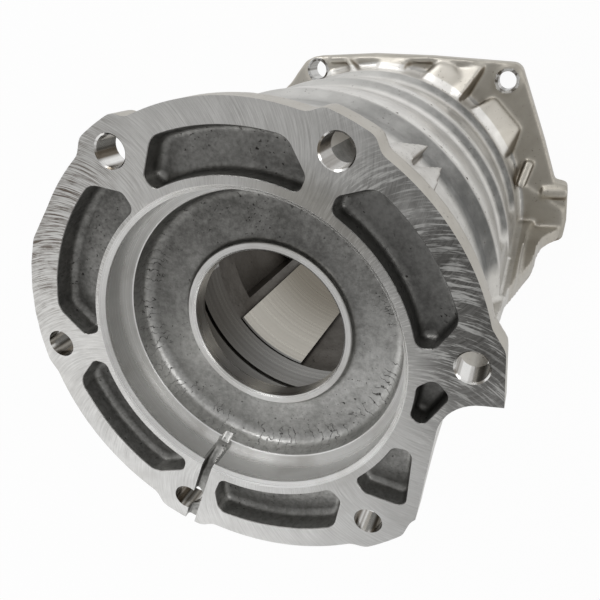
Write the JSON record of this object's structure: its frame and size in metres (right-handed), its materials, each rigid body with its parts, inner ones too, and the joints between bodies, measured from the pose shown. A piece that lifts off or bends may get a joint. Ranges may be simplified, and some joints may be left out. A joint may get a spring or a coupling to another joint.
{
  "type": "transmission extension housing",
  "caption": "Cast aluminium extension housing with a pocketed round flange, a ribbed drum, a squarish rear flange and one stepped bore right through.",
  "frame": {"origin": "bore axis in the plane of the rear flange's machined face", "axes": "+Z along the bore axis from the rear flange to the round flange, +X towards the ear of the round flange, +Y upwards in the picture"},
  "size_m": [0.195, 0.1618, 0.18],
  "materials": {
    "cast_aluminium": "satin as-cast skin with brushed machined faces"
  },
  "bodies": {
    "root": {"housing": "cast_aluminium"}
  },
  "joints": []
}
